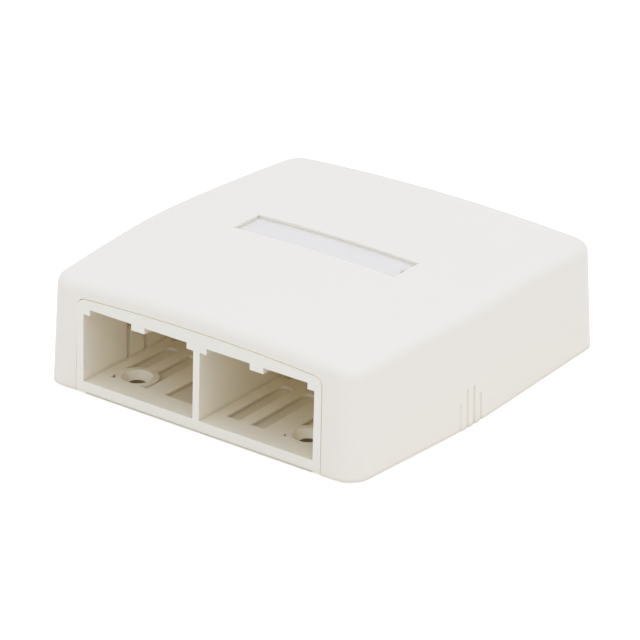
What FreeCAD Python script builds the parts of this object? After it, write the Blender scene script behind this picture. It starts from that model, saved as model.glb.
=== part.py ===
"""Surface mount box for four jack modules: a screw-down base under a crowned clip-on cover.

X runs to the right, Y to the back and Z up. The origin lies on the mounting surface under the
middle of the box, whose front faces -Y. All sizes are in millimetres and degrees.
"""
import FreeCAD, Part
import math
import os

V = FreeCAD.Vector

# ---- module bays and fascia ------------------------------------------------------------------
MODULE_WIDTH = 14.7          # share of an opening that one jack module takes
MODULES_PER_BAY = 2
PARTITION = 1.7              # wall between the two bays
FASCIA_RIM = 2.0             # fascia beside the openings
FASCIA_THICKNESS = 2.3
FASCIA_TOP_RIM = 2.9         # fascia above the notches, at the middle of its arch
FASCIA_SIDE_LEAN = 0.8       # draft of the fascia's two sides
SHOULDER_RADIUS = 2.0        # top corners of the fascia
TAB_CLEARANCE = 15.65        # height of an opening below its tabs
NOTCH_RISE = 1.4             # how far the notches reach above the tabs
NOTCH_WIDTH = 11.2
SEAM_GAP = 0.12              # between the fascia and the cover round it

# ---- base ------------------------------------------------------------------------------------
STAND_OFF = 0.5              # underside of the base above the mounting surface
FLOOR_THICKNESS = 2.45
SILL_DEPTH = 5.5             # plain floor between the front face and the channels
CHANNEL_OFFSETS = (3.05, 9.4)    # left edge of each channel, from its module's left side
CHANNEL_WIDTH = 3.45
CHANNEL_LENGTH = 19.7
CHANNEL_DEPTH = 0.8
CHANNEL_END_RADIUS = 1.4
CHANNEL_FRONT_RADIUS = 0.3
WIDE_CHANNEL_MODULE = 1      # counted from the left: its two channels are one wide field
BLIND_POCKET_OFFSET = 1.4    # small square pocket at the back of each bay's floor
BLIND_POCKET_SIZE = 1.3
GUIDE_WALL = 1.6             # outer walls of the bays
GUIDE_RISE = 0.6             # bay walls above the notches
GUIDE_FRONT_LENGTH = 14.75   # from the front face to the slot before the snap finger
FINGER_SLOT = 1.3
FINGER_WIDTH = 4.8
FINGER_HEIGHT = 6.3
FINGER_TAPER = 0.5           # lost from each side of the finger at its top
FINGER_BEAD = 0.3
FINGER_BEAD_DROP = 1.0       # middle of the bead below the finger's top
BAY_DEPTH = 29.0             # from the front face to the back end of the bay walls
UPSTAND_THICKNESS = 1.4
UPSTAND_HEIGHT = 6.0
GRIP_RELIEF = 9.0            # half the length of upstand left out where the cover is squeezed

# ---- screw holes -----------------------------------------------------------------------------
SCREW_SPACING_X = 45.4
SCREW_SPACING_Y = 60.0
SCREW_FROM_FRONT = 9.0
SCREW_HOLE = 3.8
COUNTERSINK = 6.9
COUNTERSINK_ANGLE = 82.0
BOSS = 9.5

# ---- cables ----------------------------------------------------------------------------------
CABLE_HOLE_LENGTH = 28.0
CABLE_HOLE_WIDTH = 14.0
CABLE_HOLE_FROM_FRONT = 53.0
TIE_WIDTH = 7.0
TIE_HEIGHT = 6.5
TIE_THICKNESS = 1.8
TIE_EYE_WIDTH = 4.0
TIE_EYE_HEIGHT = 2.6
TIE_CORNER = 1.4
TIE_FROM_BACK = 12.0
BREAKOUT_WIDTH = 14.0
BREAKOUT_HEIGHT = 10.0
BREAKOUT_SPACING = 36.0
BREAKOUT_RADIUS = 2.5
SCORE_WIDTH = 0.8
SCORE_DEPTH = 0.6            # cut from each face of the back wall

# ---- cover -----------------------------------------------------------------------------------
BODY_LENGTH = 92.3
SHOULDER_WIDTH = 8.4         # cover face on each side of the fascia's cut-out
BEND_FLARE = 2.95            # how much wider each side is at its bend than at the front
BACK_TAPER = 1.8             # how much narrower each side is at the back than at its bend
BEND_FROM_FRONT = 38.1
BEND_RADIUS = 154.0
CORNER_RADIUS = 5.0
FRONT_DRAFT = 0.5            # lean of the front wall, inward going up
SIDE_DRAFT = 2.55
BACK_DRAFT = 4.6
COVER_WALL = 1.9
COVER_TOP = 2.0
RIM_LIFT = 0.25              # cover's lower rim above the mounting surface
CROWN_RADIUS_ACROSS = 486.0  # arch of the top as the front shows it
CROWN_RADIUS_ALONG = 616.0   # arch of the top as the side shows it
EDGE_RADIUS = 2.45           # between the top and the walls
SHARPEST_CORNER = 0.5        # least upright corner radius of anything inside the walls
BROW = 1.15                  # flat band between the fascia's arch and that rounding
FIT_GAP = 0.35               # between the base and the inside of the cover

GROOVE_HEIGHTS = (6.3, 8.7, 8.7, 6.3)    # grip grooves of one side, front to back
GROOVE_PITCH = 2.5
GROOVE_FROM_BEND = 0.8       # middle of the grooves behind the bend
GROOVE_RADIUS = 0.45
GROOVE_DEPTH = 0.35
GRIP_FOOT_LENGTH = 6.6
GRIP_FOOT_DROP = 0.2         # lower edge of the grip below the rest of the rim

CATCH_LENGTH = 4.0
CATCH_THICKNESS = 1.5
CATCH_BARB = 0.5
CATCH_GAP = 0.2              # between the cover's catch and the base's finger
CATCH_FOOT_GAP = 1.0         # between the catch's lower end and the floor
CATCH_GUSSET = 4.0           # reach of the gusset behind the catch
CATCH_GUSSET_RISE = 4.0      # foot of the gusset above the finger
RIB_THICKNESS = 1.2
RIB_DEPTH = 1.5
RIB_SPACING = 24.0
LOCATOR_REACH = 3.2          # centre rib that slides into the back upstand

# ---- label -----------------------------------------------------------------------------------
LABEL_RECESS_LENGTH = 42.6
LABEL_RECESS_WIDTH = 9.3
LABEL_RECESS_DEPTH = 1.0
LABEL_FROM_FRONT = 45.3
LABEL_THICKNESS = 0.2
LABEL_GAP = 0.3
WINDOW_THICKNESS = 0.4
WINDOW_GAP = 0.12
WINDOW_LIFT = 0.05           # air between label and window
PRY_RADIUS = 1.3

# ---- mounting pads ---------------------------------------------------------------------------
PAD_WIDTH = 16.0
PAD_LENGTH = 40.0
PAD_FROM_SIDE = 8.8          # outer edge of a pad inside the cover's widest line
PAD_FROM_FRONT = 42.0
PAD_THICKNESS = 1.1
PAD_RECESS_GAP = 0.4
LINER_THICKNESS = 0.1

# ---- worked out ------------------------------------------------------------------------------
SHORTEST_EDGE = 1e-6         # a shorter straight between two arcs is left out
MARGIN = 1.0                 # how far a cutting tool runs past what it cuts
FRONT_Y = -BODY_LENGTH / 2
BACK_Y = BODY_LENGTH / 2
BAY_WIDTH = MODULES_PER_BAY * MODULE_WIDTH
BAY_LEFT_SIDES = (-PARTITION / 2 - BAY_WIDTH, PARTITION / 2)
BAY_OUTER = PARTITION / 2 + BAY_WIDTH
FASCIA_HALF = BAY_OUTER + FASCIA_RIM
FRONT_HALF = FASCIA_HALF + SEAM_GAP + SHOULDER_WIDTH
BEND_HALF = FRONT_HALF + BEND_FLARE
BACK_HALF = BEND_HALF - BACK_TAPER
BEND_Y = FRONT_Y + BEND_FROM_FRONT
FLOOR_TOP = STAND_OFF + FLOOR_THICKNESS
TAB_Z = FLOOR_TOP + TAB_CLEARANCE
NOTCH_Z = TAB_Z + NOTCH_RISE
ARCH_Z = NOTCH_Z + FASCIA_TOP_RIM
GUIDE_TOP = NOTCH_Z + GUIDE_RISE
FRONT_CROWN_DROP = CROWN_RADIUS_ALONG - math.sqrt(CROWN_RADIUS_ALONG ** 2 - FRONT_Y ** 2)
CREST_Z = ARCH_Z + BROW + EDGE_RADIUS + FRONT_CROWN_DROP
ABOVE = CREST_Z + 10         # higher than anything, for cutting tools
BASE_INSET = COVER_WALL + FIT_GAP
MODULE_LEFT_SIDES = tuple(left + i * MODULE_WIDTH for left in BAY_LEFT_SIDES
                          for i in range(MODULES_PER_BAY))
LABEL_Y = FRONT_Y + LABEL_FROM_FRONT
GRIP_Y = BEND_Y + GROOVE_FROM_BEND
FINGER_START = FRONT_Y + GUIDE_FRONT_LENGTH + FINGER_SLOT
FINGER_MIDDLE = FINGER_START + FINGER_WIDTH / 2
FINGER_TOP = FLOOR_TOP + FINGER_HEIGHT
PAD_BOTTOM = LINER_THICKNESS
PAD_TOP = PAD_BOTTOM + PAD_THICKNESS
PAD_X = BEND_HALF - PAD_FROM_SIDE - PAD_WIDTH / 2
SCREW_Y = (FRONT_Y + SCREW_FROM_FRONT, FRONT_Y + SCREW_FROM_FRONT + SCREW_SPACING_Y)


# ---- shared geometry -------------------------------------------------------------------------
def box(x0, x1, y0, y1, z0, z1):
    """Box between two corners."""
    return Part.makeBox(x1 - x0, y1 - y0, z1 - z0, V(x0, y0, z0))


def upright_cylinder(radius, x, y, z0, z1):
    """Cylinder that stands on z0 and reaches to z1."""
    return Part.makeCylinder(radius, z1 - z0, V(x, y, z0))


def mirrored(shape):
    """The shape and its twin on the other side of the box."""
    return [shape, shape.mirror(V(0, 0, 0), V(1, 0, 0))]


def plane_normal(direction):
    """Normal that points inward from a side of a counter-clockwise outline."""
    return V(-direction.y, direction.x, 0)


def directions_at(corners, index):
    """Unit directions of the sides that arrive at and leave a corner."""
    arriving = corners[index] - corners[index - 1]
    leaving = corners[(index + 1) % len(corners)] - corners[index]
    return arriving.normalize(), leaving.normalize()


def inset_corners(corners, insets):
    """Corners of the outline whose sides, the first from corner 0, each lie in by their inset."""
    moved = []
    for index, corner in enumerate(corners):
        arriving, leaving = (plane_normal(side) for side in directions_at(corners, index))
        before, after = insets[index - 1], insets[index]
        shared = arriving.dot(leaving)
        shift = arriving * (before - shared * after) + leaving * (after - shared * before)
        moved.append(corner + shift / (1 - shared ** 2))
    return moved


def rounded_wire(corners, radii):
    """Closed wire round a counter-clockwise outline, each corner turned on its own radius."""
    arcs = []
    for index, corner in enumerate(corners):
        arriving, leaving = directions_at(corners, index)
        half_turn = arriving.getAngle(leaving) / 2
        reach = radii[index] * math.tan(half_turn)
        inward = (leaving - arriving).normalize()
        middle = corner + inward * (radii[index] * (1 / math.cos(half_turn) - 1))
        arcs.append((corner - arriving * reach, middle, corner + leaving * reach))
    edges = []
    for index, (start, middle, end) in enumerate(arcs):
        last_end = arcs[index - 1][2]
        if last_end.distanceToPoint(start) > SHORTEST_EDGE:
            edges.append(Part.LineSegment(last_end, start).toShape())
        edges.append(Part.Arc(start, middle, end).toShape())
    return Part.Wire(edges)


def rounded_slab(x0, x1, y0, y1, radii, z0, z1):
    """Upright prism on a rectangle; radii go front right, back right, back left, front left."""
    corners = [V(x1, y0, z0), V(x1, y1, z0), V(x0, y1, z0), V(x0, y0, z0)]
    return Part.Face(rounded_wire(corners, radii)).extrude(V(0, 0, z1 - z0))


def plan_corners(inset, z):
    """Six corners of the walls at height z, each wall in by the inset and by its own draft."""
    front, side, back = (inset + (z - RIM_LIFT) * math.tan(math.radians(draft))
                         for draft in (FRONT_DRAFT, SIDE_DRAFT, BACK_DRAFT))
    right = [V(FRONT_HALF, FRONT_Y, z), V(BEND_HALF, BEND_Y, z), V(BACK_HALF, BACK_Y, z)]
    left = [V(-corner.x, corner.y, z) for corner in reversed(right)]
    return inset_corners(right + left, [side, side, back, side, side, front])


def upright_edges(block, nearest, farthest):
    """Edges of a drafted block that rise, at a distance from the XZ plane between two limits."""
    return [edge for edge in block.Edges if edge.BoundBox.ZLength > block.BoundBox.ZLength / 2
            and nearest < abs(edge.CenterOfMass.y) < farthest]


def drafted_block(inset, z0, z1):
    """Solid inside the drafted walls, rounded at its corners and bends, between two heights."""
    low, high = plan_corners(inset, z0), plan_corners(inset, z1)
    outlines = [low[::-1], high] + [[low[index - 1], low[index], high[index], high[index - 1]]
                                    for index in range(len(low))]
    skin = Part.Shell([Part.Face(Part.makePolygon(corners + corners[:1])) for corners in outlines])
    skin.sewShape()
    block = Part.Solid(skin)
    corner_radius = max(CORNER_RADIUS - inset, SHARPEST_CORNER)
    block = block.makeFillet(corner_radius, upright_edges(block, BACK_Y / 2, BODY_LENGTH))
    return block.makeFillet(BEND_RADIUS - inset, upright_edges(block, 0, BACK_Y / 2))


def crown_block(drop):
    """Everything under the top's crowned surface, lowered by the drop."""
    half_span = BODY_LENGTH
    radius = CROWN_RADIUS_ACROSS - drop
    centre_z = CREST_Z - CROWN_RADIUS_ACROSS
    edge_z = centre_z + math.sqrt(radius ** 2 - half_span ** 2)
    left = V(-half_span, 0, edge_z)
    right = V(half_span, 0, edge_z)
    below = V(0, 0, -2 * CREST_Z)
    outline = Part.Wire([
        Part.Arc(left, V(0, 0, CREST_Z - drop), right).toShape(),
        Part.LineSegment(right, right + below).toShape(),
        Part.LineSegment(right + below, left + below).toShape(),
        Part.LineSegment(left + below, left).toShape(),
    ])
    axis = V(0, 0, CREST_Z - CROWN_RADIUS_ALONG)
    swing = math.degrees(math.asin(BODY_LENGTH / CROWN_RADIUS_ALONG))
    profile = Part.Face(outline)
    profile.rotate(axis, V(1, 0, 0), -swing)
    return profile.revolve(axis, V(1, 0, 0), 2 * swing)


def arched_strip(length, width, low, high):
    """Strip over the label's place, between two depths below the top's middle arch."""
    slab = box(-length / 2, length / 2, LABEL_Y - width / 2, LABEL_Y + width / 2, 0, ABOVE)
    start = V(0, LABEL_Y - width, CREST_Z - CROWN_RADIUS_ACROSS)
    lower, upper = (Part.makeCylinder(CROWN_RADIUS_ACROSS - depth, 2 * width, start, V(0, 1, 0))
                    for depth in (low, high))
    return slab.common(upper).cut(lower)


def high_edges(shape):
    """Edges that lie wholly in the shape's upper half: those round its crowned top."""
    return [edge for edge in shape.Edges if edge.BoundBox.ZMin > CREST_Z / 2]


def crowned_body(inset, drop, bottom):
    """Drafted solid under the crowned top."""
    return drafted_block(inset, bottom, ABOVE).common(crown_block(drop))


def fascia_block(grow, bottom, depth):
    """Fascia's outline with leaning sides and an arched top, grown by a gap, from the front back."""
    lean = math.tan(math.radians(FASCIA_SIDE_LEAN))
    low_half = FASCIA_HALF + grow - (bottom - STAND_OFF) * lean
    high_half = FASCIA_HALF + grow - (ABOVE - STAND_OFF) * lean
    sides = Part.makePolygon([V(-low_half, FRONT_Y, bottom), V(low_half, FRONT_Y, bottom),
                              V(high_half, FRONT_Y, ABOVE), V(-high_half, FRONT_Y, ABOVE),
                              V(-low_half, FRONT_Y, bottom)])
    prism = Part.Face(sides).extrude(V(0, depth, 0))
    arch = Part.makeCylinder(CROWN_RADIUS_ACROSS + grow, depth,
                             V(0, FRONT_Y, ARCH_Z - CROWN_RADIUS_ACROSS), V(0, 1, 0))
    body = prism.common(arch)
    shoulders = [edge for edge in body.Edges
                 if edge.BoundBox.YLength > depth / 2 and edge.BoundBox.ZMin > ARCH_Z / 2]
    return body.makeFillet(SHOULDER_RADIUS + grow, shoulders)


# ---- base ------------------------------------------------------------------------------------
def opening_cut(left):
    """One fascia opening: notched along its top, with a tab at each end and between modules."""
    right = left + BAY_WIDTH
    points = [(left, FLOOR_TOP), (right, FLOOR_TOP), (right, TAB_Z)]
    for module in reversed(range(MODULES_PER_BAY)):
        middle = left + (module + 0.5) * MODULE_WIDTH
        for x, z in ((NOTCH_WIDTH / 2, TAB_Z), (NOTCH_WIDTH / 2, NOTCH_Z),
                     (-NOTCH_WIDTH / 2, NOTCH_Z), (-NOTCH_WIDTH / 2, TAB_Z)):
            points.append((middle + x, z))
    points += [(left, TAB_Z), (left, FLOOR_TOP)]
    outline = Part.makePolygon([V(x, FRONT_Y - MARGIN, z) for x, z in points])
    return Part.Face(outline).extrude(V(0, FASCIA_THICKNESS + 2 * MARGIN, 0))


def bay_channel(left, width):
    """Shallow channel in a bay's floor, square in front and rounded at its far end."""
    front = FRONT_Y + SILL_DEPTH
    radii = [CHANNEL_FRONT_RADIUS, CHANNEL_END_RADIUS, CHANNEL_END_RADIUS, CHANNEL_FRONT_RADIUS]
    return rounded_slab(left, left + width, front, front + CHANNEL_LENGTH, radii,
                        FLOOR_TOP - CHANNEL_DEPTH, ABOVE)


def bay_floor_cuts():
    """Channels and blind pockets in the floors of all the modules."""
    cuts = []
    for index, left in enumerate(MODULE_LEFT_SIDES):
        first, second = (left + offset for offset in CHANNEL_OFFSETS)
        if index == WIDE_CHANNEL_MODULE:
            cuts.append(bay_channel(first, second + CHANNEL_WIDTH - first))
        else:
            cuts += [bay_channel(first, CHANNEL_WIDTH), bay_channel(second, CHANNEL_WIDTH)]
        pocket_x = left + BLIND_POCKET_OFFSET
        pocket_y = FRONT_Y + BAY_DEPTH - BLIND_POCKET_SIZE / 2
        cuts.append(box(pocket_x, pocket_x + BLIND_POCKET_SIZE, pocket_y,
                        pocket_y + BLIND_POCKET_SIZE, FLOOR_TOP - CHANNEL_DEPTH, ABOVE))
    return cuts


def snap_finger():
    """Right-hand tapered finger in line with the guide wall, with a bead on its outer face."""
    base_z = FLOOR_TOP - FLOOR_THICKNESS / 2
    end = FINGER_START + FINGER_WIDTH
    side = Part.makePolygon([V(BAY_OUTER, FINGER_START, base_z), V(BAY_OUTER, end, base_z),
                             V(BAY_OUTER, end, FLOOR_TOP),
                             V(BAY_OUTER, end - FINGER_TAPER, FINGER_TOP),
                             V(BAY_OUTER, FINGER_START + FINGER_TAPER, FINGER_TOP),
                             V(BAY_OUTER, FINGER_START, FLOOR_TOP),
                             V(BAY_OUTER, FINGER_START, base_z)])
    finger = Part.Face(side).extrude(V(GUIDE_WALL, 0, 0))
    bead_length = CATCH_LENGTH - 2 * FINGER_TAPER
    bead = Part.makeCylinder(2 * FINGER_BEAD, bead_length,
                             V(BAY_OUTER + GUIDE_WALL - FINGER_BEAD,
                               FINGER_MIDDLE - bead_length / 2,
                               FINGER_TOP - FINGER_BEAD_DROP),
                             V(0, 1, 0))
    return finger.fuse(bead)


def bay_walls():
    """Partition and guide walls of the two bays, with the slotted snap fingers."""
    front = FRONT_Y + FASCIA_THICKNESS / 2
    back = FRONT_Y + BAY_DEPTH
    root = FLOOR_TOP - FLOOR_THICKNESS / 2
    partition = box(-PARTITION / 2, PARTITION / 2, front, back, root, GUIDE_TOP)
    outer = BAY_OUTER + GUIDE_WALL
    front_panel = box(BAY_OUTER, outer, front, FRONT_Y + GUIDE_FRONT_LENGTH, root, GUIDE_TOP)
    back_panel = box(BAY_OUTER, outer, FINGER_START + FINGER_WIDTH + FINGER_SLOT, back, root,
                     GUIDE_TOP)
    walls = [partition]
    for wall in (front_panel, snap_finger(), back_panel):
        walls += mirrored(wall)
    return walls


def upstand():
    """Low wall that locates the cover, left out at the grips, the bays and the cable ways."""
    z0 = FLOOR_TOP - FLOOR_THICKNESS / 2
    z1 = FLOOR_TOP + UPSTAND_HEIGHT
    ring = drafted_block(BASE_INSET, z0, z1).cut(
        drafted_block(BASE_INSET + UPSTAND_THICKNESS, z0 - MARGIN, z1 + MARGIN))
    front_gap = box(-BAY_OUTER - GUIDE_WALL, BAY_OUTER + GUIDE_WALL, FRONT_Y - MARGIN, BEND_Y,
                    FLOOR_TOP, ABOVE)
    grip_gap = box(-BEND_HALF, BEND_HALF, GRIP_Y - GRIP_RELIEF, GRIP_Y + GRIP_RELIEF,
                   FLOOR_TOP, ABOVE)
    locator_gap = box(-RIB_THICKNESS / 2 - FIT_GAP, RIB_THICKNESS / 2 + FIT_GAP,
                      BACK_Y / 2, BACK_Y, FLOOR_TOP, ABOVE)
    cable_gap = box(BREAKOUT_SPACING / 2 - BREAKOUT_WIDTH / 2,
                    BREAKOUT_SPACING / 2 + BREAKOUT_WIDTH / 2, BACK_Y / 2, BACK_Y,
                    FLOOR_TOP, ABOVE)
    return ring.cut([front_gap, grip_gap, locator_gap] + mirrored(cable_gap))


def tie_anchor(x):
    """Upright eye behind a module, for the tie that holds its cable."""
    y = BACK_Y - TIE_FROM_BACK
    half = TIE_WIDTH / 2
    top = FLOOR_TOP + TIE_HEIGHT
    plate = box(x - half, x + half, y - TIE_THICKNESS / 2, y + TIE_THICKNESS / 2,
                FLOOR_TOP - FLOOR_THICKNESS / 2, top)
    corners = [edge for edge in plate.Edges
               if edge.BoundBox.YLength > TIE_THICKNESS / 2 and edge.BoundBox.ZMin > FLOOR_TOP]
    plate = plate.makeFillet(TIE_CORNER, corners)
    eye_z = top - (TIE_WIDTH - TIE_EYE_WIDTH) / 2 - TIE_EYE_HEIGHT
    return plate.cut(box(x - TIE_EYE_WIDTH / 2, x + TIE_EYE_WIDTH / 2, y - TIE_THICKNESS,
                         y + TIE_THICKNESS, eye_z, eye_z + TIE_EYE_HEIGHT))


def screw_hole(x, y):
    """Through hole with a countersink at the floor's top."""
    hole = upright_cylinder(SCREW_HOLE / 2, x, y, STAND_OFF - MARGIN, FLOOR_TOP + MARGIN)
    depth = (COUNTERSINK - SCREW_HOLE) / 2 / math.tan(math.radians(COUNTERSINK_ANGLE / 2))
    sink = Part.makeCone(SCREW_HOLE / 2, COUNTERSINK / 2, depth, V(x, y, FLOOR_TOP - depth))
    return hole.fuse(sink)


def cable_hole():
    """Long round-ended hole through the floor."""
    y = FRONT_Y + CABLE_HOLE_FROM_FRONT
    radius = CABLE_HOLE_WIDTH / 2
    half = CABLE_HOLE_LENGTH / 2
    return rounded_slab(-half, half, y - radius, y + radius, [radius] * 4,
                        STAND_OFF - MARGIN, ABOVE)


def pad_place(side, gap, z0, z1):
    """Block at a pad's place under the base, larger all round by the gap."""
    middle = side * PAD_X
    y = FRONT_Y + PAD_FROM_FRONT
    return box(middle - PAD_WIDTH / 2 - gap, middle + PAD_WIDTH / 2 + gap,
               y - PAD_LENGTH / 2 - gap, y + PAD_LENGTH / 2 + gap, z0, z1)


def make_base():
    """Whole base moulding."""
    floor = drafted_block(BASE_INSET, STAND_OFF, FLOOR_TOP)
    sill = box(-BAY_OUTER, BAY_OUTER, FRONT_Y, FRONT_Y + BASE_INSET + SILL_DEPTH, STAND_OFF,
               FLOOR_TOP)
    fascia = fascia_block(0, STAND_OFF, FASCIA_THICKNESS)
    fascia = fascia.cut([opening_cut(left) for left in BAY_LEFT_SIDES])
    floor = floor.fuse(sill).cut(bay_floor_cuts())
    bosses = [upright_cylinder(BOSS / 2, side * SCREW_SPACING_X / 2, y, STAND_OFF, FLOOR_TOP)
              for side in (-1, 1) for y in SCREW_Y]
    ties = [tie_anchor(left + MODULE_WIDTH / 2) for left in MODULE_LEFT_SIDES]
    base = floor.fuse([fascia, upstand()] + bosses + bay_walls() + ties)
    holes = [screw_hole(side * SCREW_SPACING_X / 2, y) for side in (-1, 1) for y in SCREW_Y]
    recesses = [pad_place(side, PAD_RECESS_GAP, STAND_OFF - MARGIN, PAD_TOP) for side in (-1, 1)]
    return base.cut(holes + recesses + [cable_hole()]).removeSplitter()


# ---- cover -----------------------------------------------------------------------------------
def wall_half_width(y):
    """Half width of the cover at its rim, at a given y, measured on the rounded outline."""
    probe = Part.makeLine(V(0, y, RIM_LIFT), V(2 * BEND_HALF, y, RIM_LIFT))
    return drafted_block(0, RIM_LIFT - MARGIN, RIM_LIFT + MARGIN).common(probe).BoundBox.XMax


def grip_grooves():
    """Upright grooves of the right-hand grip, leaning with the wall."""
    grooves = []
    first = GRIP_Y - GROOVE_PITCH * (len(GROOVE_HEIGHTS) - 1) / 2
    surface_x = wall_half_width(GRIP_Y)
    axis_x = surface_x - GROOVE_DEPTH + GROOVE_RADIUS
    for index, height in enumerate(GROOVE_HEIGHTS):
        y = first + index * GROOVE_PITCH
        groove = upright_cylinder(GROOVE_RADIUS, axis_x, y, RIM_LIFT - MARGIN, RIM_LIFT + height)
        groove.rotate(V(axis_x, y, RIM_LIFT), V(0, 1, 0), -SIDE_DRAFT)
        grooves.append(groove)
    return grooves


def grip_foot():
    """Short stretch of the right-hand rim that reaches a little lower, under the grip."""
    outer = drafted_block(0, RIM_LIFT - GRIP_FOOT_DROP, RIM_LIFT + MARGIN)
    ring = outer.cut(drafted_block(COVER_WALL, RIM_LIFT - MARGIN, RIM_LIFT + 2 * MARGIN))
    return ring.common(box(0, 2 * BEND_HALF, GRIP_Y - GRIP_FOOT_LENGTH / 2,
                           GRIP_Y + GRIP_FOOT_LENGTH / 2, 0, ABOVE))


def catch_leg():
    """Right-hand leg that hangs from the top beside the finger, with a barb and a gusset."""
    inner_x = BAY_OUTER + GUIDE_WALL + FINGER_BEAD + CATCH_GAP + CATCH_BARB
    y0 = FINGER_MIDDLE - CATCH_LENGTH / 2
    bottom = FLOOR_TOP + CATCH_FOOT_GAP
    leg = box(inner_x, inner_x + CATCH_THICKNESS, y0, y0 + CATCH_LENGTH, bottom, ABOVE)
    barb_z = FINGER_TOP - FINGER_BEAD_DROP - 2 * FINGER_BEAD - CATCH_GAP
    outline = Part.makePolygon([V(inner_x, y0, bottom), V(inner_x, y0, barb_z),
                                V(inner_x - CATCH_BARB, y0, barb_z - CATCH_BARB),
                                V(inner_x, y0, bottom)])
    barb = Part.Face(outline).extrude(V(0, CATCH_LENGTH, 0))
    root_x = inner_x + CATCH_THICKNESS / 2
    tip_x = inner_x + CATCH_THICKNESS + CATCH_GUSSET
    slope = Part.makePolygon([V(root_x, 0, ABOVE), V(root_x, 0, FINGER_TOP + CATCH_GUSSET_RISE),
                              V(tip_x, 0, GUIDE_TOP), V(tip_x, 0, ABOVE),
                              V(root_x, 0, ABOVE)])
    gusset = Part.Face(slope).extrude(V(0, RIB_THICKNESS, 0))
    gusset.translate(V(0, FINGER_MIDDLE - RIB_THICKNESS / 2, 0))
    return leg.fuse([barb, gusset])


def inner_ribs():
    """Two long stiffening ribs under the top and the locating rib on the back wall."""
    band = crown_block(0).cut(crown_block(COVER_TOP + RIB_DEPTH))
    long_rib = box(RIB_SPACING / 2 - RIB_THICKNESS / 2, RIB_SPACING / 2 + RIB_THICKNESS / 2,
                   FRONT_Y, BACK_Y, 0, ABOVE).common(band)
    locator = box(-RIB_THICKNESS / 2, RIB_THICKNESS / 2,
                  BACK_Y - COVER_WALL - LOCATOR_REACH, BACK_Y, FLOOR_TOP + FIT_GAP, ABOVE)
    return mirrored(long_rib) + [locator]


def breakout_scores(middle):
    """Score lines round a cable breakout, on both faces of the back wall."""
    half = BREAKOUT_WIDTH / 2
    outline = []
    for shrink in (0, SCORE_WIDTH):
        slab = rounded_slab(middle - half + shrink, middle + half - shrink,
                            -BREAKOUT_HEIGHT, BREAKOUT_HEIGHT - shrink,
                            [BREAKOUT_RADIUS - shrink] * 4, -ABOVE, 0)
        slab.rotate(V(0, 0, 0), V(1, 0, 0), 90)
        outline.append(slab)
    ring = outline[0].cut(outline[1])
    scores = []
    for near in (BACK_Y - SCORE_DEPTH, BACK_Y - COVER_WALL - MARGIN):
        score = ring.common(box(middle - half, middle + half, 0, SCORE_DEPTH + MARGIN,
                                -MARGIN, BREAKOUT_HEIGHT))
        score.translate(V(0, near, RIM_LIFT))
        score.rotate(V(0, BACK_Y, RIM_LIFT), V(1, 0, 0), BACK_DRAFT)
        scores.append(score)
    return scores


def pry_slot():
    """Half-round slot at the right end of the label recess, through the top."""
    end = LABEL_RECESS_LENGTH / 2
    disc = upright_cylinder(PRY_RADIUS, end, LABEL_Y, GUIDE_TOP, ABOVE)
    return disc.common(box(0, end, LABEL_Y - PRY_RADIUS, LABEL_Y + PRY_RADIUS, 0, ABOVE))


def make_cover():
    """Whole cover moulding."""
    outer = crowned_body(0, 0, RIM_LIFT)
    outer = outer.makeFillet(EDGE_RADIUS, high_edges(outer))
    cavity = crowned_body(COVER_WALL, COVER_TOP, RIM_LIFT - MARGIN)
    fittings = inner_ribs() + mirrored(catch_leg())
    inside = cavity.common(fittings[0].fuse(fittings[1:]))
    shell = outer.cut(cavity).fuse([inside] + mirrored(grip_foot()))
    cuts = [fascia_block(SEAM_GAP, RIM_LIFT - MARGIN, COVER_WALL + MARGIN),
            arched_strip(LABEL_RECESS_LENGTH, LABEL_RECESS_WIDTH, LABEL_RECESS_DEPTH,
                         -COVER_TOP),
            pry_slot()]
    for groove in grip_grooves():
        cuts += mirrored(groove)
    for side in (-1, 1):
        cuts += breakout_scores(side * BREAKOUT_SPACING / 2)
    return shell.cut(cuts).removeSplitter()


# ---- label, window and pads ------------------------------------------------------------------
def pry_clearance():
    """Cylinder that notches the label and its window over the pry slot."""
    return upright_cylinder(PRY_RADIUS, LABEL_RECESS_LENGTH / 2, LABEL_Y, 0, ABOVE)


def make_label():
    """Paper strip on the floor of the recess."""
    strip = arched_strip(LABEL_RECESS_LENGTH - 2 * LABEL_GAP, LABEL_RECESS_WIDTH - 2 * LABEL_GAP,
                         LABEL_RECESS_DEPTH, LABEL_RECESS_DEPTH - LABEL_THICKNESS)
    return strip.cut(pry_clearance())


def make_window():
    """Clear strip over the label, notched at its right end."""
    bottom = LABEL_RECESS_DEPTH - LABEL_THICKNESS - WINDOW_LIFT
    strip = arched_strip(LABEL_RECESS_LENGTH - 2 * WINDOW_GAP,
                         LABEL_RECESS_WIDTH - 2 * WINDOW_GAP, bottom, bottom - WINDOW_THICKNESS)
    return strip.cut(pry_clearance())


def make_pad(side):
    """Foam mounting pad in its recess."""
    return pad_place(side, 0, PAD_BOTTOM, PAD_TOP)


def make_liner(side):
    """Release paper on a pad."""
    return pad_place(side, 0, 0, LINER_THICKNESS)


PIECES = {
    "base": make_base(),
    "cover": make_cover(),
    "label": make_label(),
    "label_window": make_window(),
    "adhesive_pad_left": make_pad(-1),
    "adhesive_pad_right": make_pad(1),
    "release_liner_left": make_liner(-1),
    "release_liner_right": make_liner(1),
}

os.makedirs("parts", exist_ok=True)
for name, shape in PIECES.items():
    solids = shape.Solids
    print(name, "solids", len(solids), "valid", shape.isValid(), "volume", round(shape.Volume, 2),
          "box", shape.BoundBox)
    shape.exportStep(os.path.join("parts", name + ".step"))
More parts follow.
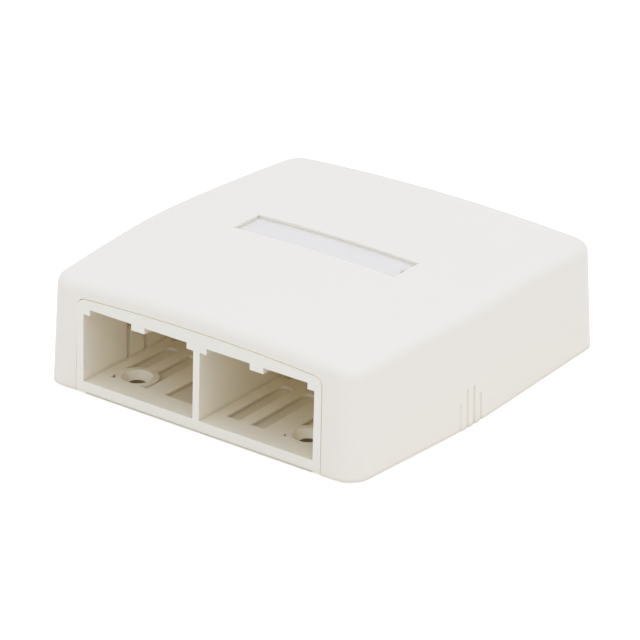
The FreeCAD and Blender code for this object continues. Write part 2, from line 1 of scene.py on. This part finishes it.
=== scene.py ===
"""Dresses the surface mount jack box: textured mouldings, label strip and clear window, foam pads
and their release film, on a pale studio floor. Sizes are in metres in the box's own frame. Only
the sizes and depths of grain, ripples, fibres and foam cells are in millimetres."""

import logging
import math
from dataclasses import dataclass, field
from enum import Enum
from typing import Iterable

import bpy
from mathutils import Matrix, Vector

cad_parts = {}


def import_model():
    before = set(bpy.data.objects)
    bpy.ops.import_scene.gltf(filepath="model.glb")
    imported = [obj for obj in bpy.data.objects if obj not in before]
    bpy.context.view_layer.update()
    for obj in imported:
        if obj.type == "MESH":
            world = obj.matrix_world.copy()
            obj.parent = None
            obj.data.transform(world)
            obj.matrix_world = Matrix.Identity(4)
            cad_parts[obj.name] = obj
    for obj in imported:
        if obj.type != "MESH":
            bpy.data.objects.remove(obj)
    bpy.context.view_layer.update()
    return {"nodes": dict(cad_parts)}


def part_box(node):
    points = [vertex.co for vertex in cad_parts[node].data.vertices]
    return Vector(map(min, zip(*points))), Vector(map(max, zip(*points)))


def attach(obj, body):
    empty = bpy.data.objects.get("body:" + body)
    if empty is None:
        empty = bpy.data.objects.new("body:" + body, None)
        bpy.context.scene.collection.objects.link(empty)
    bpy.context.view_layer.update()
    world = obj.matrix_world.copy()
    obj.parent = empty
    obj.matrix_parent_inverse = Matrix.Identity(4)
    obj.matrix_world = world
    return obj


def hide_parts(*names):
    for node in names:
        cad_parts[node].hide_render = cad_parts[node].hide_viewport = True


LOG = logging.getLogger("jack_box")
MM = 0.001
PLASTIC_IOR = 1.49
SAME_PLACE = 1e-6
SMOOTH_ANGLE = math.radians(40)
COLUMN_WIDTH = 190

Colour = tuple[float, float, float]
Point = tuple[float, float, float]
WHITE: Colour = (1.0, 1.0, 1.0)


# ---- shading helpers -------------------------------------------------------------------------
class Nodes:
    """A node tree that is written from left to right."""

    def __init__(self, tree: bpy.types.NodeTree) -> None:
        """Starts from an emptied tree.

        Args:
            tree: The tree of a material, a world or a group.
        """
        self.tree = tree
        self.tree.nodes.clear()
        self.column = 0

    def add(self, kind: str, inputs: dict | None = None, **settings: object) -> bpy.types.Node:
        """Adds a node.

        Args:
            kind: The node's class name.
            inputs: Values or sockets for its inputs, by name or index.
            **settings: Values for its other properties.

        Returns:
            The node.
        """
        node = self.tree.nodes.new(kind)
        node.location = (self.column * COLUMN_WIDTH, 0)
        self.column += 1
        for name, value in settings.items():
            setattr(node, name, value)
        for key, value in (inputs or {}).items():
            self.feed(node, key, value)
        return node

    def feed(self, node: bpy.types.Node, key: str | int, value: object) -> None:
        """Gives an input a socket to read or a value to hold.

        Args:
            node: The node.
            key: The input's name or index.
            value: A socket, a number or a tuple.
        """
        if isinstance(value, bpy.types.NodeSocket):
            self.tree.links.new(value, node.inputs[key])
        else:
            node.inputs[key].default_value = value

    def maths(self, operation: str, *values: object) -> bpy.types.NodeSocket:
        """Adds a Math node over numbers or sockets in order, and gives its result."""
        node = self.add("ShaderNodeMath", dict(enumerate(values)), operation=operation)
        return node.outputs[0]

    def around_one(self, value: object, spread: float) -> bpy.types.NodeSocket:
        """Turns a value from 0 to 1 into a factor spread evenly round 1."""
        return self.maths("MULTIPLY_ADD", value, spread, 1.0 - spread / 2)

    def faded(self, value: object, shade: float) -> bpy.types.NodeSocket:
        """Turns a value from 0 to 1 into a factor that falls short of 1 by the shade at 0."""
        return self.maths("MULTIPLY_ADD", value, shade, 1.0 - shade)

    def mixed(self, factor: object, first: object, second: object) -> bpy.types.NodeSocket:
        """Mixes two colours, where a factor of 0 gives the first."""
        node = self.add("ShaderNodeMix", {0: factor, 6: first, 7: second}, data_type="RGBA")
        return node.outputs[2]

    def eased(self, value: object, start: float, end: float) -> bpy.types.NodeSocket:
        """Eases a value from 0 at its start to 1 at its end."""
        node = self.add("ShaderNodeMapRange", {"Value": value, "From Min": start,
                                               "From Max": end},
                        interpolation_type="SMOOTHSTEP")
        return node.outputs["Result"]

    def shaded(self, where: object, colour: object, shade: Colour) -> bpy.types.NodeSocket:
        """Multiplies a colour by a shade, in full where the mask is 1."""
        node = self.add("ShaderNodeMix", {0: where, 6: colour, 7: opaque(shade)},
                        data_type="RGBA", blend_type="MULTIPLY")
        return node.outputs[2]

    def bumped(self, height: bpy.types.NodeSocket) -> bpy.types.NodeSocket:
        """Turns a height in metres into a normal."""
        node = self.add("ShaderNodeBump", {"Height": height, "Strength": 1.0, "Distance": 1.0})
        return node.outputs[0]

    def principled(self, inputs: dict) -> None:
        """Adds the material's shader, with its inputs by name, and its output."""
        shader = self.add("ShaderNodeBsdfPrincipled", inputs)
        self.add("ShaderNodeOutputMaterial", {"Surface": shader.outputs[0]})

    def background_seen(self) -> bpy.types.NodeSocket:
        """Tells where the camera, a gloss or a clear piece shows the background.

        Returns:
            A socket that is 1 there and 0 elsewhere.
        """
        path = self.add("ShaderNodeLightPath")
        through = self.maths("MAXIMUM", path.outputs["Is Glossy Ray"],
                             path.outputs["Is Transmission Ray"])
        return self.maths("MAXIMUM", path.outputs["Is Camera Ray"], through)

    def object_point(self) -> bpy.types.NodeSocket:
        """Gives the socket of the point in the box's own frame."""
        return self.add("ShaderNodeTexCoord").outputs["Object"]


def opaque(colour: Colour) -> tuple[float, float, float, float]:
    """Gives a colour its alpha of 1."""
    return (*colour, 1.0)


def new_material(name: str) -> tuple[bpy.types.Material, Nodes]:
    """Makes a material with an empty node tree.

    Args:
        name: The material's name.

    Returns:
        The material and its nodes.
    """
    made = bpy.data.materials.new(name)
    made.use_nodes = True
    return made, Nodes(made.node_tree)


def moulded_grain(pit_scale: float = 0.37, pit_weight: float = 0.6,
                  mottle_scale: float = 38.0) -> bpy.types.NodeTree:
    """Builds the group that all moulded plastics share: spark-eroded grain and a faint mottle.

    Args:
        pit_scale: Scale of the pits, as a share of the fine grain's.
        pit_weight: How much the pits count in the height.
        mottle_scale: Scale of the mottle.

    Returns:
        The group, with Height, Tone and Roughness outputs.
    """
    group = bpy.data.node_groups.new("moulded_grain", "ShaderNodeTree")
    face = group.interface
    for name, value in (("Grain Size", 0.25), ("Roughness", 0.45), ("Roughness Spread", 0.08),
                        ("Tone Spread", 0.02)):
        face.new_socket(name, in_out="INPUT", socket_type="NodeSocketFloat").default_value = value
    for name in ("Height", "Tone", "Roughness"):
        face.new_socket(name, in_out="OUTPUT", socket_type="NodeSocketFloat")
    nodes = Nodes(group)
    given = nodes.add("NodeGroupInput")
    point = nodes.object_point()
    scale = nodes.maths("DIVIDE", 1.0 / MM, given.outputs["Grain Size"])
    fine = nodes.add("ShaderNodeTexNoise", {"Vector": point, "Scale": scale, "Detail": 2.0,
                                            "Roughness": 0.6})
    coarse_scale = nodes.maths("MULTIPLY", scale, pit_scale)
    pits = nodes.add("ShaderNodeTexVoronoi", {"Vector": point, "Scale": coarse_scale},
                     feature="SMOOTH_F1")
    mottle = nodes.add("ShaderNodeTexNoise", {"Vector": point, "Scale": mottle_scale,
                                              "Detail": 3.0})
    height = nodes.maths("MULTIPLY_ADD", pits.outputs["Distance"], pit_weight,
                         fine.outputs[0])
    centred = nodes.maths("SUBTRACT", mottle.outputs[0], 0.5)
    tone = nodes.maths("MULTIPLY_ADD", centred, given.outputs["Tone Spread"], 1.0)
    fine_centred = nodes.maths("SUBTRACT", fine.outputs[0], 0.5)
    spread = nodes.maths("ADD", centred, fine_centred)
    rough = nodes.maths("MULTIPLY_ADD", spread, given.outputs["Roughness Spread"],
                        given.outputs["Roughness"])
    nodes.add("NodeGroupOutput", {"Height": height, "Tone": tone, "Roughness": rough})
    return group


# ---- finishes --------------------------------------------------------------------------------
@dataclass(frozen=True)
class SinkMark:
    """A shallow dimple that a leg behind the face has drawn in."""

    x: float
    y: float
    radius: float
    depth: float


@dataclass(frozen=True)
class PaintedHollowShade:
    """Painted shade in the channels and screw holes of the base's floor.

    The shade of the channels has no limit across. It also reaches the lowest outside of the
    base's side walls, which the cover hides until it is lifted.
    """

    # Colours multiplied in as painted shade, in the channels and in the screw holes.
    channel_painted_shade: Colour
    hole_painted_shade: Colour
    sill: float = -41.0 * MM
    front: float = -35.0 * MM
    back: float = -18.0 * MM
    least_channel_shade: float = 0.35
    floor_top: float = 2.95 * MM
    channel_floor: float = 2.3 * MM
    screw_x: float = 22.7 * MM
    screw_y: float = -37.15 * MM
    boss_radius: float = 4.75 * MM
    hole_radius: float = 2.2 * MM
    hole_top: float = 1.25 * MM

    def over(self, nodes: Nodes, colour: object) -> bpy.types.NodeSocket:
        """Paints shade into the channels and the front screw holes.

        Args:
            nodes: The material's nodes.
            colour: The plastic's colour.

        Returns:
            The shaded colour.
        """
        place = nodes.add("ShaderNodeSeparateXYZ", {"Vector": nodes.object_point()})
        across, along, up = (place.outputs[axis] for axis in "XYZ")
        plan = nodes.add("ShaderNodeCombineXYZ", {"X": nodes.maths("ABSOLUTE", across),
                                                  "Y": along})
        away = nodes.add("ShaderNodeVectorMath",
                         {0: plan.outputs[0], 1: (self.screw_x, self.screw_y, 0.0)},
                         operation="DISTANCE")
        # Painted shade in the channels, off the screw bosses and strongest towards the front.
        off_boss = nodes.maths("GREATER_THAN", away.outputs["Value"], self.boss_radius)
        sunk = nodes.eased(up, self.floor_top, self.channel_floor)
        forward = nodes.eased(along, self.back, self.front)
        strength = nodes.faded(forward, 1.0 - self.least_channel_shade)
        channel_shade_mask = nodes.maths("MULTIPLY", nodes.maths("MULTIPLY", off_boss, sunk), strength)
        behind_sill = nodes.maths("GREATER_THAN", along, self.sill)
        in_front = nodes.maths("LESS_THAN", along, self.back)
        in_bay = nodes.maths("MULTIPLY", behind_sill, in_front)
        shaded = nodes.shaded(nodes.maths("MULTIPLY", channel_shade_mask, in_bay), colour,
                              self.channel_painted_shade)
        # Painted shade inside the screw holes, below the floor.
        in_hole = nodes.maths("LESS_THAN", away.outputs["Value"], self.hole_radius)
        low = nodes.maths("LESS_THAN", up, self.hole_top)
        return nodes.shaded(nodes.maths("MULTIPLY", in_hole, low), shaded, self.hole_painted_shade)


@dataclass(frozen=True)
class MouldedPlastic:
    """Opaque moulded plastic, with its grain's size and depth in millimetres."""

    name: str
    colour: Colour
    # Colour that bounced light takes off the plastic, warmer than its own colour: painted warm
    # light inside the box.
    bounce_colour: Colour
    roughness: float
    grain_size: float
    grain_depth: float
    # Painted shade in the floor's channels and screw holes, if any.
    painted_hollow_shade: PaintedHollowShade | None = None
    sink_marks: tuple[SinkMark, ...] = ()
    # Painted shade: creases darkened by ambient occlusion, and the lowest edge darkened near the
    # floor.
    crease_reach: float = 0.9 * MM
    crease_shade: float = 0.3
    crease_samples: int = 8
    edge_height: float = 1.2 * MM
    edge_shade: float = 0.14

    def material(self, grain: bpy.types.NodeTree) -> bpy.types.Material:
        """Builds the material.

        Args:
            grain: The shared grain group.

        Returns:
            The material.
        """
        made, nodes = new_material(self.name)
        effect = nodes.add("ShaderNodeGroup", node_tree=grain)
        nodes.feed(effect, "Grain Size", self.grain_size)
        nodes.feed(effect, "Roughness", self.roughness)
        # Camera rays see the plastic's own colour and bounced light its warmer one: painted warm
        # light.
        path = nodes.add("ShaderNodeLightPath")
        colour = nodes.mixed(path.outputs["Is Diffuse Ray"], opaque(self.colour),
                             opaque(self.bounce_colour))
        # Paints shade into the floor's channels and screw holes.
        if self.painted_hollow_shade:
            colour = self.painted_hollow_shade.over(nodes, colour)
        # The random tone, times the painted shade of the creases and the lowest edge.
        tone = nodes.maths("MULTIPLY", effect.outputs["Tone"], self._shade(nodes))
        tint = nodes.add("ShaderNodeVectorMath", {0: colour, 3: tone}, operation="SCALE")
        height = nodes.maths("MULTIPLY", effect.outputs["Height"], self.grain_depth * MM)
        for mark in self.sink_marks:
            height = self._dimple(nodes, height, mark)
        nodes.principled({"Base Color": tint.outputs[0],
                          "Roughness": effect.outputs["Roughness"],
                          "Normal": nodes.bumped(height), "IOR": PLASTIC_IOR})
        return made

    def _shade(self, nodes: Nodes) -> bpy.types.NodeSocket:
        """Paints a little shade into the creases and along the lowest edge.

        Args:
            nodes: The material's nodes.

        Returns:
            What the colour is multiplied by.
        """
        crease = nodes.add("ShaderNodeAmbientOcclusion", {"Distance": self.crease_reach},
                           only_local=True, samples=self.crease_samples)
        creased = nodes.faded(crease.outputs["AO"], self.crease_shade)
        place = nodes.add("ShaderNodeSeparateXYZ", {"Vector": nodes.object_point()})
        above = nodes.eased(place.outputs["Z"], 0.0, self.edge_height)
        edged = nodes.faded(above, self.edge_shade)
        return nodes.maths("MULTIPLY", creased, edged)

    @staticmethod
    def _dimple(nodes: Nodes, height: bpy.types.NodeSocket,
                mark: SinkMark) -> bpy.types.NodeSocket:
        """Sinks one mark into a height.

        Args:
            nodes: The material's nodes.
            height: The height so far.
            mark: The mark.

        Returns:
            The height with the mark.
        """
        away = nodes.add("ShaderNodeVectorMath", {0: nodes.object_point(),
                                                  1: (mark.x, mark.y, 0.0)},
                         operation="SUBTRACT")
        flat = nodes.add("ShaderNodeVectorMath", {0: away.outputs[0], 1: (1.0, 1.0, 0.0)},
                         operation="MULTIPLY")
        distance = nodes.add("ShaderNodeVectorMath", {0: flat.outputs[0]}, operation="LENGTH")
        bowl = nodes.add("ShaderNodeMapRange",
                         {"Value": distance.outputs["Value"], "From Min": 0.0,
                          "From Max": mark.radius, "To Min": -mark.depth, "To Max": 0.0},
                         interpolation_type="SMOOTHERSTEP")
        return nodes.maths("ADD", height, bowl.outputs[0])


@dataclass(frozen=True)
class ClearPlastic:
    """Clear polished plastic of the window, with its ripples' size and depth in millimetres."""

    name: str
    colour: Colour
    roughness: float
    alpha: float = 0.25
    ripple_size: float = 4.0
    ripple_depth: float = 0.002
    roughness_spread: float = 0.04

    def material(self, grain: bpy.types.NodeTree) -> bpy.types.Material:
        """Builds the material.

        Args:
            grain: The shared grain group.

        Returns:
            The material.
        """
        made, nodes = new_material(self.name)
        effect = nodes.add("ShaderNodeGroup", node_tree=grain)
        nodes.feed(effect, "Grain Size", self.ripple_size)
        nodes.feed(effect, "Roughness", self.roughness)
        nodes.feed(effect, "Roughness Spread", self.roughness_spread)
        height = nodes.maths("MULTIPLY", effect.outputs["Height"], self.ripple_depth * MM)
        nodes.principled({"Base Color": opaque(self.colour),
                          "Roughness": effect.outputs["Roughness"],
                          "Alpha": self.alpha, "IOR": PLASTIC_IOR,
                          "Normal": nodes.bumped(height)})
        return made


@dataclass(frozen=True)
class Paper:
    """Plain paper with a fibre texture, whose depth is in millimetres."""

    name: str
    colour: Colour
    roughness: float
    fibre_depth: float
    fibre_scale: float = 2600.0
    fibre_stretch: Point = (1.0, 3.0, 1.0)
    fibre_tone: float = 0.03
    fibre_roughness: float = 0.1
    cloud_scale: float = 260.0
    cloud_tone: float = 0.02

    def material(self) -> bpy.types.Material:
        """Builds the material.

        Returns:
            The material.
        """
        made, nodes = new_material(self.name)
        point = nodes.object_point()
        stretch = nodes.add("ShaderNodeMapping", {"Vector": point,
                                                  "Scale": self.fibre_stretch})
        fibres = nodes.add("ShaderNodeTexNoise",
                           {"Vector": stretch.outputs[0], "Scale": self.fibre_scale,
                            "Detail": 4.0, "Distortion": 0.6})
        cloud = nodes.add("ShaderNodeTexNoise", {"Vector": point, "Scale": self.cloud_scale,
                                                 "Detail": 2.0})
        shade = nodes.around_one(fibres.outputs[0], self.fibre_tone)
        patch = nodes.around_one(cloud.outputs[0], self.cloud_tone)
        tone = nodes.maths("MULTIPLY", shade, patch)
        tint = nodes.add("ShaderNodeVectorMath", {0: self.colour, 3: tone}, operation="SCALE")
        rough = nodes.maths("MULTIPLY_ADD", fibres.outputs[0], self.fibre_roughness,
                            self.roughness)
        height = nodes.maths("MULTIPLY", fibres.outputs[0], self.fibre_depth * MM)
        nodes.principled({"Base Color": tint.outputs[0], "Roughness": rough,
                          "Normal": nodes.bumped(height)})
        return made


@dataclass(frozen=True)
class Foam:
    """Closed-cell foam of the mounting pads, with its cells' size and depth in millimetres."""

    name: str
    colour: Colour
    cell_size: float
    cell_depth: float = 0.04
    cell_tone: float = 0.12
    least_tone: float = 0.9
    cell_roughness: float = 0.1
    least_roughness: float = 0.82

    def material(self) -> bpy.types.Material:
        """Builds the material.

        Returns:
            The material.
        """
        made, nodes = new_material(self.name)
        point = nodes.object_point()
        cells = nodes.add("ShaderNodeTexVoronoi", {"Vector": point,
                                                   "Scale": 1.0 / (self.cell_size * MM)})
        wall = nodes.maths("MULTIPLY", cells.outputs["Distance"], cells.outputs["Distance"])
        tone = nodes.maths("MULTIPLY_ADD", wall, self.cell_tone, self.least_tone)
        tint = nodes.add("ShaderNodeVectorMath", {0: self.colour, 3: tone}, operation="SCALE")
        height = nodes.maths("MULTIPLY", wall, self.cell_depth * MM)
        rough = nodes.maths("MULTIPLY_ADD", wall, self.cell_roughness, self.least_roughness)
        nodes.principled({"Base Color": tint.outputs[0], "Roughness": rough,
                          "Normal": nodes.bumped(height)})
        return made


# ---- mesh helpers ----------------------------------------------------------------------------
class Bench:
    """Adds primitives and runs operators on one piece at a time."""

    @staticmethod
    def slab(name: str, low: Vector, high: Vector) -> bpy.types.Object:
        """Adds a block between two corners, with its place in its mesh.

        Args:
            name: The piece's name.
            low: The lowest corner.
            high: The highest corner.

        Returns:
            The piece.
        """
        bpy.ops.object.select_all(action="DESELECT")
        bpy.ops.mesh.primitive_cube_add(size=1.0, location=(low + high) / 2,
                                        scale=high - low)
        piece = bpy.context.object
        piece.name = name
        piece.data.name = name
        bpy.ops.object.transform_apply(location=True, rotation=True, scale=True)
        return piece

    @staticmethod
    def choose_edges(piece: bpy.types.Object, wanted: Iterable[int]) -> None:
        """Selects edges by index and enters edit mode.

        Args:
            piece: The piece.
            wanted: The indices of the edges.
        """
        bpy.context.view_layer.objects.active = piece
        bpy.ops.object.mode_set(mode="EDIT")
        bpy.ops.mesh.select_mode(type="EDGE")
        bpy.ops.mesh.select_all(action="DESELECT")
        bpy.ops.object.mode_set(mode="OBJECT")
        chosen = set(wanted)
        for edge in piece.data.edges:
            edge.select = edge.index in chosen
        bpy.ops.object.mode_set(mode="EDIT")

    @staticmethod
    def upright(piece: bpy.types.Object) -> list[int]:
        """Lists the edges that run along Z."""
        points = piece.data.vertices
        return [edge.index for edge in piece.data.edges
                if (points[edge.vertices[0]].co
                    - points[edge.vertices[1]].co).xy.length < SAME_PLACE]

    @staticmethod
    def level(piece: bpy.types.Object, z: float) -> list[int]:
        """Lists the edges that lie at one height."""
        points = piece.data.vertices
        return [edge.index for edge in piece.data.edges
                if all(abs(points[i].co.z - z) < SAME_PLACE for i in edge.vertices)]

    @staticmethod
    def leave(piece: bpy.types.Object) -> None:
        """Leaves edit mode with the piece smooth-shaded up to the smooth angle.

        Args:
            piece: The piece.
        """
        bpy.ops.object.mode_set(mode="OBJECT")
        bpy.ops.object.select_all(action="DESELECT")
        piece.select_set(True)
        bpy.context.view_layer.objects.active = piece
        bpy.ops.object.shade_smooth_by_angle(angle=SMOOTH_ANGLE)


# ---- sub-assemblies --------------------------------------------------------------------------
class Side(Enum):
    """Left or right half of the box."""

    LEFT = "left"
    RIGHT = "right"


@dataclass
class MountingPad:
    """Foam pad under the base, with the release film on its lower face."""

    side: Side
    corner: float = 0.4 * MM
    corner_segments: int = 8
    soft_edge: float = 0.22 * MM
    film_edge: float = 0.02 * MM
    edge_segments: int = 3
    pieces: list[bpy.types.Object] = field(default_factory=list)

    def build(self, foam: bpy.types.Material, film: bpy.types.Material) -> None:
        """Models the pad and its film where their solids are, and dresses them.

        Args:
            foam: The pad's material.
            film: The film's material.
        """
        pad = self._rounded(f"foam_pad_{self.side.value}", f"adhesive_pad_{self.side.value}",
                            self.soft_edge)
        pad.data.materials.append(foam)
        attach(pad, "box_base")
        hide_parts(f"adhesive_pad_{self.side.value}")
        sheet = self._rounded(f"release_film_{self.side.value}",
                              f"release_liner_{self.side.value}", self.film_edge)
        sheet.data.materials.append(film)
        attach(sheet, "box_base")
        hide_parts(f"release_liner_{self.side.value}")
        self.pieces += [pad, sheet]

    def _rounded(self, name: str, node: str, edge: float) -> bpy.types.Object:
        """Models a flat block with round corners and soft edges over a node's box.

        Args:
            name: The piece's name.
            node: The node whose place it takes.
            edge: The radius of its upper and lower edges.

        Returns:
            The piece.
        """
        low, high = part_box(node)
        piece = Bench.slab(name, low, high)
        Bench.choose_edges(piece, Bench.upright(piece))
        bpy.ops.mesh.bevel(offset=self.corner, segments=self.corner_segments, affect="EDGES")
        bpy.ops.object.mode_set(mode="OBJECT")
        Bench.choose_edges(piece, Bench.level(piece, low.z) + Bench.level(piece, high.z))
        bpy.ops.mesh.bevel(offset=edge, segments=self.edge_segments, affect="EDGES")
        Bench.leave(piece)
        return piece


@dataclass
class Mouldings:
    """The plastic mouldings, the label and its window, which keep their solids' own meshes."""

    sink_radius: float = 1.8 * MM
    sink_depth: float = 0.012 * MM
    sink_place: tuple[float, float] = (36.9 * MM, -27.9 * MM)

    def dress(self, nodes: dict[str, bpy.types.Object], grain: bpy.types.NodeTree) -> None:
        """Gives each node its finish.

        Args:
            nodes: The frame's nodes.
            grain: The shared grain group.
        """
        x, y = self.sink_place
        marks = tuple(SinkMark(side * x, y, self.sink_radius, self.sink_depth)
                      for side in (-1, 1))
        # Warmer colour for bounced light: painted warm light inside the box.
        warm = (0.99, 0.92, 0.712)
        # Painted shade for the base's channels and screw holes.
        painted_hollow_shade = PaintedHollowShade(channel_painted_shade=(0.82, 0.79, 0.74), hole_painted_shade=(0.3, 0.22, 0.14))
        finishes = {
            "cover": MouldedPlastic(name="cover_plastic", colour=(0.906, 0.882, 0.852),
                                    bounce_colour=warm, roughness=0.5, grain_size=0.22,
                                    grain_depth=0.006, sink_marks=marks).material(grain),
            "base": MouldedPlastic(name="base_plastic", colour=(0.9, 0.894, 0.86),
                                   bounce_colour=warm, roughness=0.42, grain_size=0.3,
                                   grain_depth=0.004, painted_hollow_shade=painted_hollow_shade).material(grain),
            "label": Paper(name="label_paper", colour=(0.885, 0.863, 0.87), roughness=0.75,
                           fibre_depth=0.004).material(),
            "label_window": ClearPlastic(name="clear_window", colour=(0.98, 0.98, 0.99),
                                         roughness=0.06).material(grain),
        }
        for name, finish in finishes.items():
            self._assign(nodes[name], finish)
            LOG.info("dressed %s with %s", name, finish.name)

    @staticmethod
    def _assign(node: bpy.types.Object, finish: bpy.types.Material) -> None:
        """Puts a finish in all of a node's material slots."""
        for slot in node.material_slots:
            slot.material = finish


# ---- studio ----------------------------------------------------------------------------------
@dataclass(frozen=True)
class Lamp:
    """A square lamp that faces the box, with its power in watts."""

    name: str
    place: Point
    size: float
    power: float
    colour: Colour = (1.0, 0.995, 0.96)

    def hang(self) -> None:
        """Adds the lamp to the scene."""
        data = bpy.data.lights.new(self.name, "AREA")
        data.shape = "SQUARE"
        data.size = self.size
        data.energy = self.power
        data.color = self.colour
        lamp = bpy.data.objects.new(self.name, data)
        lamp.location = self.place
        lamp.rotation_euler = (-Vector(self.place)).to_track_quat("-Z", "Y").to_euler()
        bpy.context.scene.collection.objects.link(lamp)


@dataclass
class Studio:
    """Camera, lamps, floor and world."""

    place: Vector = field(default_factory=lambda: Vector((0.4122, -0.58626, 0.33209)))
    azimuth: float = math.radians(35.111)
    elevation: float = math.radians(24.829)
    roll: float = math.radians(1.705)
    lens: float = 202.64
    sensor: float = 36.0
    shift: tuple[float, float] = (-0.0065, 0.0601)
    clips: tuple[float, float] = (0.01, 20.0)
    floor_size: float = 6.0
    world_colour: Colour = (0.985, 1.0, 1.02)
    world_strength: float = 0.84
    floor_colour: Colour = (0.86, 0.83, 0.79)
    shown_floor: Colour = (0.9, 0.9, 0.9)
    # Painted shadow: the darker colour the floor shows where the box covers it.
    painted_floor_shadow: Colour = (0.6, 0.59, 0.56)
    floor_glow: float = 0.45
    hidden_half_width: float = 30.0 * MM
    hidden_front: float = -44.8 * MM
    hidden_front_end: float = -46.4 * MM
    hidden_back: float = 42.0 * MM
    lamps: tuple[Lamp, ...] = (Lamp("key", (0.38, -0.12, 0.85), size=0.9, power=0.9),
                               Lamp("front", (0.5, -1.2, 0.75), size=1.0, power=0.7))
    light_bounces: int = 16
    diffuse_bounces: int = 14

    def build(self) -> None:
        """Sets up the whole studio."""
        self._camera()
        self._world()
        self._floor()
        for lamp in self.lamps:
            lamp.hang()
        scene = bpy.context.scene
        scene.view_settings.view_transform = "Standard"
        scene.cycles.max_bounces = self.light_bounces
        scene.cycles.diffuse_bounces = self.diffuse_bounces

    def _camera(self) -> None:
        """Adds the camera and makes it the scene's."""
        data = bpy.data.cameras.new("camera")
        data.sensor_width = self.sensor
        data.lens = self.lens
        data.shift_x, data.shift_y = self.shift
        data.clip_start, data.clip_end = self.clips
        back = Vector((math.sin(self.azimuth) * math.cos(self.elevation),
                       -math.cos(self.azimuth) * math.cos(self.elevation),
                       math.sin(self.elevation)))
        level = Vector((math.cos(self.azimuth), math.sin(self.azimuth), 0.0))
        upward = back.cross(level)
        right = level * math.cos(self.roll) + upward * math.sin(self.roll)
        up = upward * math.cos(self.roll) - level * math.sin(self.roll)
        camera = bpy.data.objects.new("camera", data)
        turn = Matrix((right, up, back)).transposed().to_4x4()
        camera.matrix_world = Matrix.Translation(self.place) @ turn
        bpy.context.scene.collection.objects.link(camera)
        bpy.context.scene.camera = camera

    def _world(self) -> None:
        """Lights the scene evenly from all round."""
        world = bpy.data.worlds.new("studio")
        world.use_nodes = True
        bpy.context.scene.world = world
        nodes = Nodes(world.node_tree)
        seen = nodes.background_seen()
        colour = nodes.mixed(seen, opaque(self.world_colour), opaque(WHITE))
        strength = nodes.faded(seen, 1.0 - self.world_strength)
        back = nodes.add("ShaderNodeBackground", {"Color": colour, "Strength": strength})
        nodes.add("ShaderNodeOutputWorld", {"Surface": back.outputs[0]})

    def _floor(self) -> None:
        """Lays the pale floor that the box stands on, painted in shadow where the box covers it.
        """
        bpy.ops.object.select_all(action="DESELECT")
        bpy.ops.mesh.primitive_plane_add(size=self.floor_size)
        floor = bpy.context.object
        floor.name = "studio_floor"
        made, nodes = new_material("studio_floor")
        seen = nodes.background_seen()
        diffuse = nodes.add("ShaderNodeBsdfDiffuse", {"Color": opaque(self.floor_colour)})
        # Under the box the floor shows a darker colour and no glow: a painted shadow, softened at
        # the front edge.
        open_floor = self._open_floor(nodes)
        shown = nodes.mixed(open_floor, opaque(self.painted_floor_shadow),
                            opaque(self.shown_floor))
        pale = nodes.add("ShaderNodeBsdfDiffuse", {"Color": shown})
        strength = nodes.maths("MULTIPLY", open_floor, self.floor_glow)
        glow = nodes.add("ShaderNodeEmission", {"Color": opaque(WHITE), "Strength": strength})
        half = nodes.add("ShaderNodeAddShader", {0: pale.outputs[0], 1: glow.outputs[0]})
        mix = nodes.add("ShaderNodeMixShader", {0: seen, 1: diffuse.outputs[0],
                                                2: half.outputs[0]})
        nodes.add("ShaderNodeOutputMaterial", {"Surface": mix.outputs[0]})
        floor.data.materials.append(made)

    def _open_floor(self, nodes: Nodes) -> bpy.types.NodeSocket:
        """Gives 1 on the open floor and 0 where the box covers it and the floor is painted in
        shadow.

        Args:
            nodes: The floor material's nodes.

        Returns:
            The mask.
        """
        place = nodes.add("ShaderNodeSeparateXYZ", {"Vector": nodes.object_point()})
        across = nodes.maths("ABSOLUTE", place.outputs["X"])
        beside = nodes.maths("GREATER_THAN", across, self.hidden_half_width)
        before = nodes.eased(place.outputs["Y"], self.hidden_front, self.hidden_front_end)
        behind = nodes.maths("GREATER_THAN", place.outputs["Y"], self.hidden_back)
        return nodes.maths("MAXIMUM", beside, nodes.maths("MAXIMUM", before, behind))


def main() -> None:
    """Loads the frame, then builds the studio, the pads and the finishes in order."""
    logging.basicConfig(level=logging.INFO)
    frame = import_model()
    Studio().build()
    grain = moulded_grain()
    Mouldings().dress(frame["nodes"], grain)
    foam = Foam(name="pad_foam", colour=(0.82, 0.82, 0.8), cell_size=0.35).material()
    film = Paper(name="release_film", colour=(0.83, 0.79, 0.68), roughness=0.45,
                 fibre_depth=0.002).material()
    for side in Side:
        pad = MountingPad(side)
        pad.build(foam, film)
        for piece in pad.pieces:
            LOG.info("built %s", piece.name)


if __name__ == "__main__":
    main()
